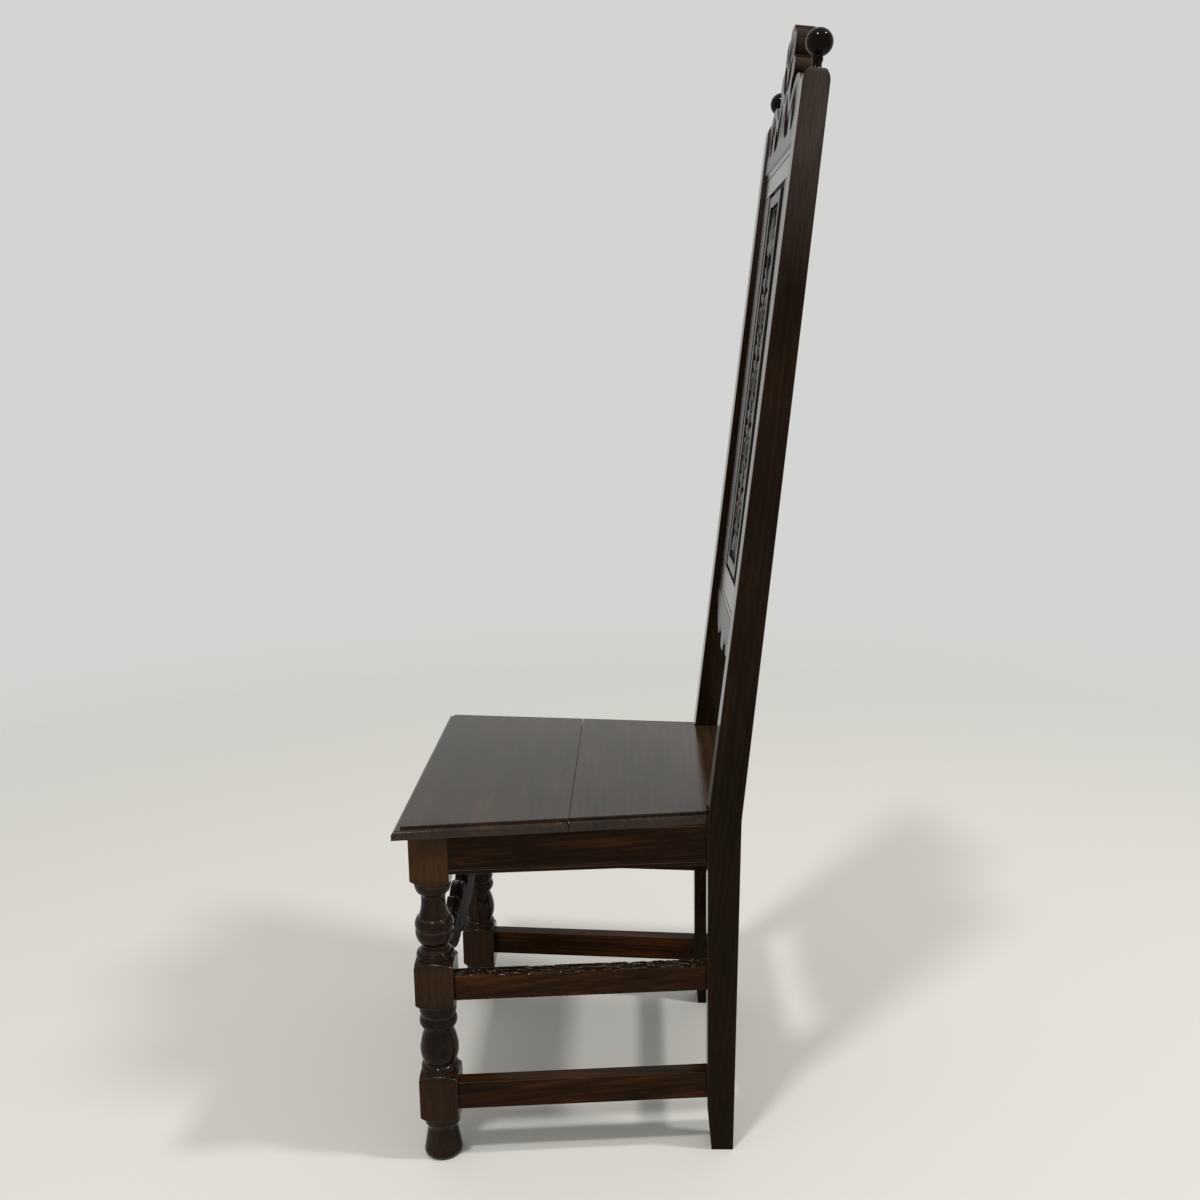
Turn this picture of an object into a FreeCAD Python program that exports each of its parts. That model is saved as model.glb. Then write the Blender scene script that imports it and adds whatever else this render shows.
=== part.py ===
import FreeCAD, Part
import math
import os
import Sketcher
from types import SimpleNamespace

# Hall chair in dark oak: turned front legs, raked rear posts, boarded seat and a carved, panelled back.
# X runs across the chair to the sitter's left, Y runs to the back, Z is up and the floor is Z = 0.

# Driving sizes in millimetres, the rake in degrees
SIZES = {
    # seat
    "seat_height": 440,
    "seat_thick": 14,
    "seat_front_width": 479,
    "seat_depth": 369,
    "seat_side_overhang": 16,
    "seat_front_overhang": 16,
    "seat_rear_inset": 6.5,
    "front_board_depth": 205,
    "seat_step": 3.5,
    "seat_step_inset": 9,
    "nosing_radius": 5,
    "seam_gap": 0.8,
    "tongue_length": 6,
    "tongue_thick": 4,
    # front legs
    "leg_block": 47,
    "top_block_low": 363,
    "mid_block_high": 262,
    "mid_block_low": 203,
    "low_block_high": 114,
    "low_block_low": 53,
    "pommel_rise": 9,
    "pommel_radius": 22.8,
    "collar_radius": 22.6,
    "neck_radius": 14.8,
    "bulb_radius": 23.2,
    "waist_radius": 16.2,
    "torus_radius": 23.3,
    "cuff_radius": 23.2,
    "vase_radius": 23.4,
    "vase_neck_radius": 18.2,
    "foot_radius": 23.4,
    "foot_neck_radius": 18.8,
    "sole_radius": 17.6,
    # rear posts
    "post_spread": 396,
    "post_width": 34,
    "knee_height": 432,
    "knee_depth": 40,
    "foot_depth": 27,
    "foot_taper": 5,
    "foot_taper_height": 57,
    "post_rise": 70.4,
    "post_top_depth": 29.5,
    "post_shoulder_height": 12.5,
    "post_shoulder_inset": 6,
    "post_top_round": 6,
    "rake": 6.46,
    # finials
    "ball_radius": 14.8,
    "ball_rise": 27.6,
    "finial_neck_radius": 5.5,
    "finial_base_radius": 7.4,
    "spigot_radius": 5,
    "spigot_length": 24,
    # rails and stretchers of the base
    "rail_height": 50,
    "rail_thick": 22,
    "rail_inset": 3,
    "back_rail_offset": 4,
    "stretcher_thick": 20,
    "stretcher_inset": 7.5,
    "upper_stretcher_low": 212,
    "upper_stretcher_height": 32,
    "lower_stretcher_low": 67,
    "lower_stretcher_height": 35,
    "back_stretcher_low": 150,
    "back_stretcher_height": 32,
    "back_stretcher_thick": 18,
    "front_stretcher_thick": 18,
    "front_stretcher_low": 217,
    "front_stretcher_height": 29,
    "front_stretcher_crest": 24,
    "front_stretcher_drop": 16,
    "tenon_thick": 9,
    "tenon_length": 16,
    "tenon_step": 6,
    "quirk": 1.8,
    "bead": 5,
    # frame of the back, measured along the rake from the knee of the posts
    "bottom_rail_low": 219,
    "bottom_rail_height": 41,
    "panel_opening": 481.5,
    "top_rail_height": 31.5,
    "back_rail_thick": 21,
    "back_bead": 6.5,
    "stile_width": 78,
    "stile_thick": 20,
    "panel_thick": 9,
    "panel_front": 5.5,
    "panel_groove": 7,
    "panel_play": 1,
    "stub_length": 8,
    "stub_thick": 8,
    "stub_inset": 8,
    "moulding_side_margin": 26,
    "moulding_end_margin": 5,
    "moulding_width": 14,
    "moulding_height": 5,
    "moulding_round": 2,
    # carved boards of the back
    "cresting_thick": 25,
    "cresting_height": 153,
    "crest_slot": 5.5,
    "apron_drop": 57,
    "apron_thick": 21,
    # hidden fixings
    "dowel_radius": 4,
    "dowel_length": 24,
    "dowel_pitch": 110,
    "block_leg": 52,
    "block_height": 30,
    "screw_radius": 2,
    "screw_head_radius": 4,
    "screw_head_height": 2.6,
    "screw_grip": 8,
    "fit_gap": 0.2,
}

doc = FreeCAD.newDocument("HallChair")
sheet = doc.addObject("Spreadsheet::Sheet", "Sizes")
for row, (name, value) in enumerate(SIZES.items(), start=1):
    sheet.set(f"A{row}", name)
    sheet.set(f"B{row}", str(value))
    sheet.setAlias(f"B{row}", name)
doc.recompute()


class Size:
    """A number together with the sheet formula that keeps it up to date."""

    def __init__(self, number, formula=None):
        self.number = float(number)
        self.formula = formula or repr(self.number)
        self.bound = formula is not None

    def joined(self, sign, other, number):
        other = as_size(other)
        if not (self.bound or other.bound):
            return Size(number)
        return Size(number, f"({self.formula} {sign} {other.formula})")

    def __add__(self, other):
        return self.joined("+", other, self.number + as_size(other).number)

    def __sub__(self, other):
        return self.joined("-", other, self.number - as_size(other).number)

    def __mul__(self, other):
        return self.joined("*", other, self.number * as_size(other).number)

    def __truediv__(self, other):
        return self.joined("/", other, self.number / as_size(other).number)

    def __neg__(self):
        return self * -1

    def __rsub__(self, other):
        return as_size(other) - self

    __radd__ = __add__
    __rmul__ = __mul__


def as_size(value):
    return value if isinstance(value, Size) else Size(value)


def sine(angle):
    return Size(math.sin(math.radians(angle.number)), f"sin({angle.formula} * 1 deg)")


def cosine(angle):
    return Size(math.cos(math.radians(angle.number)), f"cos({angle.formula} * 1 deg)")


d = SimpleNamespace(**{name: Size(value, f"Sizes.{name}") for name, value in SIZES.items()})
ZERO = Size(0)
TOUCH = 0.01
SIDES = {"left": 1, "right": -1}

# Places that several pieces share
rail_top = d.seat_height - d.seat_thick
rail_low = rail_top - d.rail_height
crest_low = d.bottom_rail_low + d.bottom_rail_height + d.panel_opening + d.top_rail_height
crest_top = crest_low + d.cresting_height
post_length = crest_low + d.post_rise
rear_reach = d.knee_depth / 2 + crest_top * sine(d.rake) + d.cresting_thick / 2 * cosine(d.rake)
seat_front = -(d.seat_depth + rear_reach) / 2
post_front = seat_front + d.seat_depth
knee_y = post_front + d.knee_depth / 2
seam = seat_front + d.front_board_depth
leg_half = d.leg_block / 2
leg_outer = d.seat_front_width / 2 - d.seat_side_overhang
leg_x = leg_outer - leg_half
leg_y = seat_front + d.seat_front_overhang + leg_half
leg_back = leg_y + leg_half
leg_inner = leg_x - leg_half
post_outer = d.post_spread / 2
post_x = post_outer - d.post_width / 2
bay = post_outer - d.post_width
seat_rear_half = post_outer - d.seat_rear_inset
panel_low = d.bottom_rail_low + d.bottom_rail_height
panel_high = panel_low + d.panel_opening
stile_inner = bay - d.stile_width


def vector(*numbers):
    return FreeCAD.Vector(*[as_size(number).number for number in numbers])


def find_plane(body, role):
    return next(item for item in body.Origin.OriginFeatures if item.Role == role)


pieces = {}


class Piece:
    """One sub-part: a body with a place of its own, drawn in its own frame.

    A corner of an outline is (a, b), or (a, b, c, d) where an arc through (c, d) leads to it.
    Outlines lie in plan (x, y), in front view (x, z) or in side view (y, z), with x counted
    outwards from the middle of the chair on both sides.
    """

    PLANES = {"plan": "XY_Plane", "front": "XZ_Plane", "side": "YZ_Plane"}

    def __init__(self, label, place=(ZERO, ZERO, ZERO), side=1, leans=False):
        self.side = side
        self.place = place
        self.body = doc.addObject("PartDesign::Body", label)
        self.body.Label = label
        spot = (place[0] * side, place[1], place[2])
        turn = FreeCAD.Rotation(FreeCAD.Vector(-1, 0, 0), d.rake.number if leans else 0)
        self.body.Placement = FreeCAD.Placement(vector(*spot), turn)
        for axis, size in zip("xyz", spot):
            if size.bound:
                self.body.setExpression(f"Placement.Base.{axis}", size.formula)
        if leans:
            self.body.setExpression("Placement.Rotation.Angle", d.rake.formula)
        pieces[label] = self.body

    def sketch(self, plane, corners, offset=ZERO):
        outline = self.body.newObject("Sketcher::SketchObject", "Outline")
        outline.AttachmentSupport = [(find_plane(self.body, self.PLANES[plane]), "")]
        outline.MapMode = "FlatFace"
        outline.AttachmentOffset = FreeCAD.Placement(vector(0, 0, offset), FreeCAD.Rotation())
        if offset.bound:
            outline.setExpression("AttachmentOffset.Base.z", offset.formula)
        mirror = 1 if plane == "side" else self.side
        points = [[as_size(n) * (1 if i % 2 else mirror) for i, n in enumerate(c)] for c in corners]
        rules = []
        sizes = []
        ends = []

        def hold(geometry, end, spot):
            for kind, size in zip(("DistanceX", "DistanceY"), spot):
                rules.append(Sketcher.Constraint(kind, -1, 1, geometry, end, size.number))
                sizes.append(size)

        for before, point in zip(points[-1:] + points[:-1], points):
            start = vector(*before[:2], 0)
            finish = vector(*point[:2], 0)
            if len(point) == 4:
                middle = vector(*point[2:], 0)
                edge = outline.addGeometry(Part.Arc(start, middle, finish))
                forward = outline.getPoint(edge, 2).distanceToPoint(finish) < 1e-6
                through = outline.addGeometry(Part.Point(middle), True)
                hold(through, 1, point[2:])
                rules.append(Sketcher.Constraint("PointOnObject", through, 1, edge))
                sizes.append(ZERO)
            else:
                edge = outline.addGeometry(Part.LineSegment(start, finish))
                forward = True
            ends.append((edge, 1 if forward else 2, 2 if forward else 1))
            hold(edge, ends[-1][2], point[:2])
        for this, following in zip(ends, ends[1:] + ends[:1]):
            rules.append(Sketcher.Constraint("Coincident", this[0], this[2], following[0], following[1]))
            sizes.append(ZERO)
        outline.addConstraint(rules)
        for number, size in enumerate(sizes):
            if size.bound:
                outline.setExpression(f"Constraints[{number}]", size.formula)
        return outline

    def feature(self, kind, outline):
        item = self.body.newObject(f"PartDesign::{kind}", kind)
        item.Profile = outline
        return item

    def extrude(self, kind, plane, corners, low, high):
        backwards = plane == "front" or (plane == "side" and self.side < 0)
        start = -as_size(high) if backwards else as_size(low)
        item = self.feature(kind, self.sketch(plane, corners, start))
        length = as_size(high) - low
        item.Length = length.number
        if length.bound:
            item.setExpression("Length", length.formula)
        item.Reversed = kind == "Pocket"
        return item

    def add(self, plane, corners, low, high):
        return self.extrude("Pad", plane, corners, low, high)

    def cut(self, plane, corners, low, high):
        return self.extrude("Pocket", plane, corners, low, high)

    def turn(self, kind, corners, plane="front", axis="V_Axis"):
        outline = self.sketch(plane, corners)
        item = self.feature(kind, outline)
        item.ReferenceAxis = (outline, [axis])
        item.Angle = 360
        return item

    def add_box(self, box):
        x, y, z = self.shifted(box)
        self.add("plan", rectangle(*x, *y), *z)

    def cut_box(self, box, gap=d.fit_gap):
        x, y, z = [(low - gap, high + gap) for low, high in self.shifted(box)]
        self.cut("plan", rectangle(*x, *y), *z)

    def shifted(self, box):
        return [(low - origin, high - origin) for (low, high), origin in zip(box, self.place)]

    def soften(self, kind, size, wanted):
        doc.recompute()
        tip = self.body.Tip
        names = [f"Edge{n}" for n, edge in enumerate(tip.Shape.Edges, start=1) if wanted(edge)]
        item = self.body.newObject(f"PartDesign::{kind}", kind)
        item.Base = (tip, names)
        item.Radius = size.number
        item.setExpression("Radius", size.formula)


def rectangle(x0, x1, y0, y1):
    return [(x0, y0), (x1, y0), (x1, y1), (x0, y1)]


def raked(depth, along):
    """Side-view place of a point given by its depth behind the posts' middle and its run up the rake."""
    return (depth * cosine(d.rake) + along * sine(d.rake), along * cosine(d.rake) - depth * sine(d.rake))


def raked_rectangle(depth0, depth1, along0, along1):
    return [raked(depth, along) for depth, along in rectangle(depth0, depth1, along0, along1)]


def leaf(x0, y0, x1, y1, bulge):
    """A pointed leaf between two tips; bulge is its half-width."""
    x = (x0 + x1) / 2
    y = (y0 + y1) / 2
    length = math.hypot(as_size(x1 - x0).number, as_size(y1 - y0).number)
    across = (y1 - y0) / length * bulge
    down = (x1 - x0) / length * bulge
    return [(x0, y0, x - across, y + down), (x1, y1, x + across, y - down)]


def circle(x, y, radius):
    return [(x - radius, y, x, y + radius), (x + radius, y, x, y - radius)]


def both_halves(half, top=None, bottom=None):
    """Mirror the right half of an outline, given upwards; top and bottom are arc heights on the middle."""
    first = half[0] if bottom is None else (*half[0][:2], ZERO, bottom)
    over = (-half[-1][0], half[-1][1])
    whole = [first] + half[1:] + [over if top is None else (*over, ZERO, top)]
    for here, below in zip(half[:0:-1], half[-2::-1]):
        corner = (-below[0], below[1])
        whole.append(corner if len(here) == 2 else (*corner, -here[2], here[3]))
    return whole


# Side members run from a front leg to a rear post, so their tenons and mortises share these boxes
def side_member(low, height, thick, inset):
    front_outer = leg_outer - inset
    rear_outer = post_outer - inset
    z = (low + d.tenon_step, low + height - d.tenon_step)
    half = d.tenon_thick / 2
    front = front_outer - thick / 2
    rear = rear_outer - thick / 2
    return SimpleNamespace(
        low=low,
        high=low + height,
        outer=(front_outer, rear_outer),
        inner=(front_outer - thick, rear_outer - thick),
        front_tenon=((front - half, front + half), (leg_back - d.tenon_length, leg_back), z),
        rear_tenon=((rear - half, rear + half), (post_front, post_front + d.tenon_length), z),
    )


def cross_member(low, height, thick, middle, face):
    """A member across the chair; face is how far out it meets the legs or posts."""
    reach = face + d.tenon_length
    y = (middle - d.tenon_thick / 2, middle + d.tenon_thick / 2)
    z = (low + d.tenon_step, low + height - d.tenon_step)
    return SimpleNamespace(
        low=low,
        middle=middle,
        board=((-face, face), (middle - thick / 2, middle + thick / 2), (low, low + height)),
        tenons=((-reach, reach), y, z),
        leg_tenon=((face, reach), y, z),
    )


seat_rail = side_member(rail_low, d.rail_height, d.rail_thick, d.rail_inset)
upper_stretcher = side_member(
    d.upper_stretcher_low, d.upper_stretcher_height, d.stretcher_thick, d.stretcher_inset
)
lower_stretcher = side_member(
    d.lower_stretcher_low, d.lower_stretcher_height, d.stretcher_thick, d.stretcher_inset
)
front_rail_y = leg_y - leg_half + d.rail_inset + d.rail_thick / 2
front_rail = cross_member(rail_low, d.rail_height, d.rail_thick, front_rail_y, leg_inner)
back_rail_y = knee_y + d.back_rail_offset
back_rail = cross_member(rail_low, d.rail_height, d.rail_thick, back_rail_y, bay)
front_stretcher = cross_member(
    d.front_stretcher_low, d.front_stretcher_height, d.front_stretcher_thick, leg_y, leg_inner
)
back_stretcher = cross_member(
    d.back_stretcher_low, d.back_stretcher_height, d.back_stretcher_thick, back_rail_y, bay
)

# Boards of the raked back share these ranges of depth and of run up the rake with the posts
back_tenon = (-d.tenon_thick / 2, d.tenon_thick / 2)
crest_tenon = d.tenon_length / 2
top_rail_run = (panel_high + d.tenon_step, crest_low - d.tenon_step)
bottom_rail_run = (d.bottom_rail_low + d.tenon_step, panel_low - d.tenon_step)
cresting_run = (crest_low + d.tenon_step, post_length - d.tenon_step * 3)
back_mortises = (
    (top_rail_run, d.tenon_length),
    (bottom_rail_run, d.tenon_length),
    (cresting_run, crest_tenon),
)
groove_depth = (-d.panel_front - d.fit_gap, d.panel_thick - d.panel_front + d.fit_gap)
stub_span = (stile_inner + d.stub_inset, bay - d.stub_inset)
stub_depth = (-d.stub_thick / 2, d.stub_thick / 2)
dowel_spots = (-d.dowel_pitch, ZERO, d.dowel_pitch)


# Turned front legs: a square blank with three stretches turned away
def front_leg(name, side):
    leg = Piece(f"front_leg_{name}", (leg_x, leg_y, ZERO), side)
    leg.add("plan", rectangle(-leg_half, leg_half, -leg_half, leg_half), ZERO, rail_top)
    outside = d.leg_block * 0.75
    pommel = d.pommel_radius
    bevel = pommel * 0.45 + outside * 0.55

    def turned(low, high, shape):
        """Turn the blank down from low to high; shape gives corners as (share of the run, radius)."""
        rise = d.pommel_rise
        corners = [(outside, high + rise, bevel, high + rise * 0.3), (outside, low - rise)]
        corners.append((pommel, low, bevel, low - rise * 0.3))
        for corner in shape:
            spots = [(corner[i + 1], low + (high - low) * corner[i]) for i in range(0, len(corner), 2)]
            corners.append(sum(spots, ()))
        leg.turn("Groove", corners + [(pommel, high)])

    turned(
        d.mid_block_high,
        d.top_block_low,
        [
            (0.005, d.torus_radius * 0.94),
            (0.094, d.torus_radius * 0.91, 0.045, d.torus_radius),
            (0.101, d.waist_radius * 1.17),
            (0.127, d.waist_radius * 1.13),
            (0.193, d.waist_radius * 1.04, 0.163, d.waist_radius),
            (0.198, d.bulb_radius * 0.77),
            (0.381, d.bulb_radius * 0.987, 0.277, d.bulb_radius * 0.96),
            (0.389, d.bulb_radius * 0.95),
            (0.402, d.bulb_radius * 0.995),
            (0.523, d.bulb_radius * 0.89, 0.465, d.bulb_radius),
            (0.528, d.neck_radius * 1.27),
            (0.782, d.neck_radius, 0.624, d.neck_radius * 1.08),
            (0.854, d.collar_radius * 0.85, 0.824, d.neck_radius * 1.1),
            (0.859, d.collar_radius * 0.88),
            (0.955, d.collar_radius, 0.911, d.collar_radius * 0.967),
            (0.960, d.collar_radius * 0.96),
            (0.974, d.collar_radius * 0.96),
            (0.978, pommel),
        ],
    )
    turned(
        d.low_block_high,
        d.mid_block_low,
        [
            (0.006, d.cuff_radius * 0.955),
            (0.101, d.cuff_radius * 0.93, 0.05, d.cuff_radius),
            (0.106, d.vase_neck_radius * 1.13),
            (0.163, d.vase_neck_radius * 1.15, 0.135, d.vase_neck_radius * 1.09),
            (0.382, d.vase_radius * 0.992, 0.258, d.vase_radius * 0.992),
            (0.596, d.vase_neck_radius, 0.483, d.vase_radius * 0.915),
            (0.646, d.vase_neck_radius),
            (0.663, d.cuff_radius * 0.9),
            (0.820, d.cuff_radius * 0.915, 0.742, d.cuff_radius),
            (0.831, d.cuff_radius * 0.9),
            (0.893, pommel, 0.857, d.cuff_radius * 0.945),
        ],
    )
    run = d.low_block_low
    foot = [
        (outside, run + d.pommel_rise, bevel, run + d.pommel_rise * 0.3),
        (outside, -d.pommel_rise),
        (d.sole_radius, -d.pommel_rise),
        (d.sole_radius, ZERO),
        (d.foot_radius, run * 0.15, d.foot_radius * 0.955, run * 0.045),
        (d.foot_neck_radius, run * 0.66, d.foot_radius * 0.91, run * 0.385),
        (pommel * 0.97, run * 0.83, d.foot_neck_radius * 1.04, run * 0.76),
        (pommel, run),
    ]
    leg.turn("Groove", foot)
    for member in (seat_rail, upper_stretcher, lower_stretcher):
        leg.cut_box(member.front_tenon)
    for member in (front_rail, front_stretcher):
        leg.cut_box(member.leg_tenon)


# Rear posts: sawn from a board, upright to the seat and raked above it
def rear_post(name, side):
    post = Piece(f"rear_post_{name}", (post_x, knee_y, d.knee_height), side)
    half = d.knee_depth / 2
    top = d.post_top_depth / 2
    crown = top - d.post_shoulder_inset
    shoulder = post_length - d.post_shoulder_height
    bend = post_length - d.post_shoulder_height * 0.35
    foot_front = d.foot_taper - half
    profile = [
        (foot_front, -d.knee_height),
        (foot_front + d.foot_depth, -d.knee_height),
        (half, ZERO),
        raked(top, shoulder),
        raked(crown, post_length) + raked(top - d.post_shoulder_inset * 0.44, bend),
        raked(-crown, post_length),
        raked(-top, shoulder) + raked(d.post_shoulder_inset * 0.44 - top, bend),
        (-half, ZERO),
        (-half, d.foot_taper_height - d.knee_height),
    ]
    across = d.post_width / 2
    post.add("side", profile, -across, across)
    post.soften("Fillet", d.post_top_round, on_post_top)
    for member in (seat_rail, upper_stretcher, lower_stretcher):
        post.cut_box(member.rear_tenon)
    for member in (back_rail, back_stretcher):
        post.cut_box(member.leg_tenon)
    gap = d.fit_gap
    for run, length in back_mortises:
        mortise = raked_rectangle(back_tenon[0] - gap, back_tenon[1] + gap, run[0] - gap, run[1] + gap)
        post.cut("side", mortise, -across, length + gap - across)
    bore = d.spigot_radius + gap
    socket = raked_rectangle(ZERO, bore, post_length - d.spigot_length - gap, post_length)
    post.turn("Groove", socket, "side", "Edge1")


def on_post_top(edge):
    """True for the edges along both sides of the flat top between the shoulders."""
    _, low = raked(d.post_top_depth / 2 - d.post_shoulder_inset, post_length)
    across = [vertex.X for vertex in edge.Vertexes]
    above = min(vertex.Z for vertex in edge.Vertexes) > low.number - TOUCH
    return above and max(across) - min(across) < TOUCH


# Turned finials: a grooved ball on a collared neck, with a spigot down into the post
def finial(name, side):
    back, up = raked(ZERO, post_length)
    knob = Piece(f"finial_{name}", (post_x, knee_y + back, d.knee_height + up), side, leans=True)
    middle = d.ball_rise
    slim = d.finial_neck_radius

    def on_ball(angle, share=1):
        """A point of the ball's outline, by the angle at its centre up from the foot of the ball."""
        turn = math.radians(angle)
        radius = d.ball_radius * share
        return (radius * math.sin(turn), middle - radius * math.cos(turn))

    seat = on_ball(23)
    neck = seat[1]
    knob.turn(
        "Revolution",
        [
            (ZERO, -d.spigot_length),
            (d.spigot_radius, -d.spigot_length),
            (d.spigot_radius, ZERO),
            (d.finial_base_radius, ZERO),
            (slim, neck * 0.3, slim * 1.16, neck * 0.1),
            (slim, neck * 0.58),
            (slim * 1.13, neck * 0.63),
            (slim * 1.13, neck * 0.86),
            (slim, neck * 0.9),
            seat,
            on_ball(103) + on_ball(75),
            on_ball(106, 0.95),
            on_ball(109),
            (ZERO, middle + d.ball_radius) + on_ball(140),
        ],
    )


# Rails and stretchers along the sides: splayed in plan, with tenons square to the legs
def side_piece(label, member, side, beaded=False):
    piece = Piece(label, (member.outer[0], leg_back, member.low), side)
    run = post_front - leg_back
    splay = member.outer[1] - member.outer[0]
    thick = member.outer[0] - member.inner[0]
    height = member.high - member.low
    piece.add("plan", [(ZERO, ZERO), (splay, run), (splay - thick, run), (-thick, ZERO)], ZERO, height)
    piece.add_box(member.front_tenon)
    piece.add_box(member.rear_tenon)
    if beaded:
        groove = [(ZERO, ZERO), (splay, run), (splay - d.quirk, run), (-d.quirk, ZERO)]
        piece.cut("plan", groove, d.bead, d.bead + d.quirk)


def cross_piece(label, member):
    piece = Piece(label, (ZERO, member.middle, member.low))
    piece.add_box(member.board)
    piece.add_box(member.tenons)


# Front stretcher: shaped with a crest and a drop in the middle, between scrolled shoulders
def shaped_stretcher():
    piece = Piece("front_stretcher", (ZERO, leg_y, d.front_stretcher_low))
    reach = leg_inner
    deep = d.front_stretcher_height
    crest = d.front_stretcher_crest
    drop = d.front_stretcher_drop
    half = [
        (reach * 0.15, -drop * 0.55),
        (reach * 0.19, -drop * 0.2),
        (reach * 0.56, deep * 0.14, reach * 0.37, -drop * 0.5),
        (reach * 0.86, ZERO, reach * 0.71, deep * 0.2),
        (reach, ZERO),
        (reach, deep),
        (reach * 0.88, deep),
        (reach * 0.83, deep * 0.86),
        (reach * 0.29, deep + crest * 0.55, reach * 0.56, deep + crest * 0.27),
        (reach * 0.16, deep + crest * 0.42, reach * 0.22, deep + crest * 0.86),
    ]
    outline = both_halves(half, top=deep + crest, bottom=-drop)
    piece.add("front", outline, -d.front_stretcher_thick / 2, d.front_stretcher_thick / 2)
    piece.add_box(front_stretcher.tenons)


# Seat: two boards joined by a tongue, with a stepped and rounded edge on the front and sides
def seat_half(y):
    """Half the width of the seat at a place from front to back."""
    share = (y - seat_front) / d.seat_depth
    front_half = d.seat_front_width / 2
    return front_half + (seat_rear_half - front_half) * share


def seat_board(label, place, layers, moulded):
    board = Piece(label, (ZERO, place, rail_top))
    edge_height = d.seat_thick - d.seat_step
    board.add("plan", layers[0], ZERO, edge_height)
    board.soften("Fillet", d.nosing_radius, moulded)
    board.add("plan", layers[1], ZERO, d.seat_thick)
    return board


def on_seat_edge(sides):
    """Pick the upper edges of a board's lower layer that face outwards on the given sides."""
    level = (d.seat_thick - d.seat_step).number

    def picked(edge):
        flat = all(abs(vertex.Z - level) < TOUCH for vertex in edge.Vertexes)
        line = edge.Vertexes[-1].Point - edge.Vertexes[0].Point
        along = "side" if abs(line.y) > abs(line.x) else "front"
        return flat and along in sides and edge.Length > d.seat_front_width.number / 6

    return picked


def seat_boards():
    inset = d.seat_step_inset
    front = -d.front_board_depth
    back = -d.seam_gap / 2
    tongue = rectangle(
        inset * 3 - seat_half(seam), seat_half(seam) - inset * 3, back, back + d.tongue_length
    )
    tongue_low = (d.seat_thick - d.seat_step - d.tongue_thick) / 2
    lower = [(-seat_half(seat_front), front), (seat_half(seat_front), front)]
    lower += [(seat_half(seam + back), back), (-seat_half(seam + back), back)]
    step = seat_front + inset
    upper = [(inset - seat_half(step), front + inset), (seat_half(step) - inset, front + inset)]
    upper += [(seat_half(seam + back) - inset, back), (inset - seat_half(seam + back), back)]
    board = seat_board("seat_board_front", seam, [lower, upper], on_seat_edge(["front", "side"]))
    board.add("plan", tongue, tongue_low, tongue_low + d.tongue_thick)
    screw_holes(board, "front")

    start = d.seam_gap / 2
    end = post_front - seam
    tail = back_rail_y + d.rail_thick / 2 - seam
    notch = bay - d.fit_gap
    layers = []
    for trim in (ZERO, inset):
        wide = seat_half(seam + start) - trim
        narrow = seat_rear_half - trim
        right = [(wide, start), (narrow, end), (notch, end), (notch, tail)]
        layers.append(right + [(-x, y) for x, y in reversed(right)])
    board = seat_board("seat_board_rear", seam, layers, on_seat_edge(["side"]))
    gap = d.fit_gap
    groove = rectangle(
        inset * 3 - seat_half(seam) - gap,
        seat_half(seam) - inset * 3 + gap,
        start,
        back + d.tongue_length + gap,
    )
    board.cut("plan", groove, tongue_low - gap, tongue_low + d.tongue_thick + gap)
    screw_holes(board, "rear")


# Corner blocks under the seat and the screws that go up through them
def rail_inner(y):
    share = (y - leg_back) / (post_front - leg_back)
    return seat_rail.inner[0] + (seat_rail.inner[1] - seat_rail.inner[0]) * share


def block_corners(end):
    """Plan corners of a corner block, given by its ends along the cross rail and the side rail."""
    if end == "front":
        face = front_rail_y + d.rail_thick / 2
        far = leg_back + d.block_leg
        return [
            (leg_inner - d.block_leg, face),
            (leg_inner, face),
            (leg_inner, leg_back),
            (rail_inner(leg_back), leg_back),
            (rail_inner(far), far),
        ]
    face = back_rail_y - d.rail_thick / 2
    far = post_front - d.block_leg
    return [
        (bay - d.block_leg, face),
        (bay, face),
        (bay, post_front),
        (rail_inner(post_front), post_front),
        (rail_inner(far), far),
    ]


def screw_place(end):
    picked = [block_corners(end)[i] for i in (0, 2, 4)]
    return tuple((a + b + c) / 3 for a, b, c in zip(*picked))


def screw_holes(board, end):
    x, y = screw_place(end)
    for sign in SIDES.values():
        hole = circle(x * sign, y - board.place[1], d.screw_radius + d.fit_gap)
        board.cut("plan", hole, ZERO, d.screw_grip + d.fit_gap)


def corner_block(end, name, side):
    low = rail_top - d.block_height
    block = Piece(f"corner_block_{end}_{name}", (ZERO, ZERO, low), side)
    block.add("plan", block_corners(end), ZERO, d.block_height)
    x, y = screw_place(end)
    block.cut("plan", circle(x, y, d.screw_radius + d.fit_gap), ZERO, d.block_height)
    block.cut("plan", circle(x, y, d.screw_head_radius + d.fit_gap), ZERO, d.screw_head_height)


def bind(item, **fields):
    for field, size in fields.items():
        path = field.replace("_", ".")
        if path == field:
            setattr(item, field, size.number)
        if size.bound:
            item.setExpression(path, size.formula)


def group(label, solids, place=None):
    """Identical fixings in one node, as separate solids."""
    bundle = doc.addObject("Part::Compound", label)
    bundle.Label = label
    bundle.Links = solids
    if place is not None:
        bundle.Placement = place
    pieces[label] = bundle
    return bundle


def put(item, x, y, z):
    item.Placement.Base = vector(x, y, z)
    bind(item, Placement_Base_x=as_size(x), Placement_Base_y=as_size(y), Placement_Base_z=as_size(z))


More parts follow.
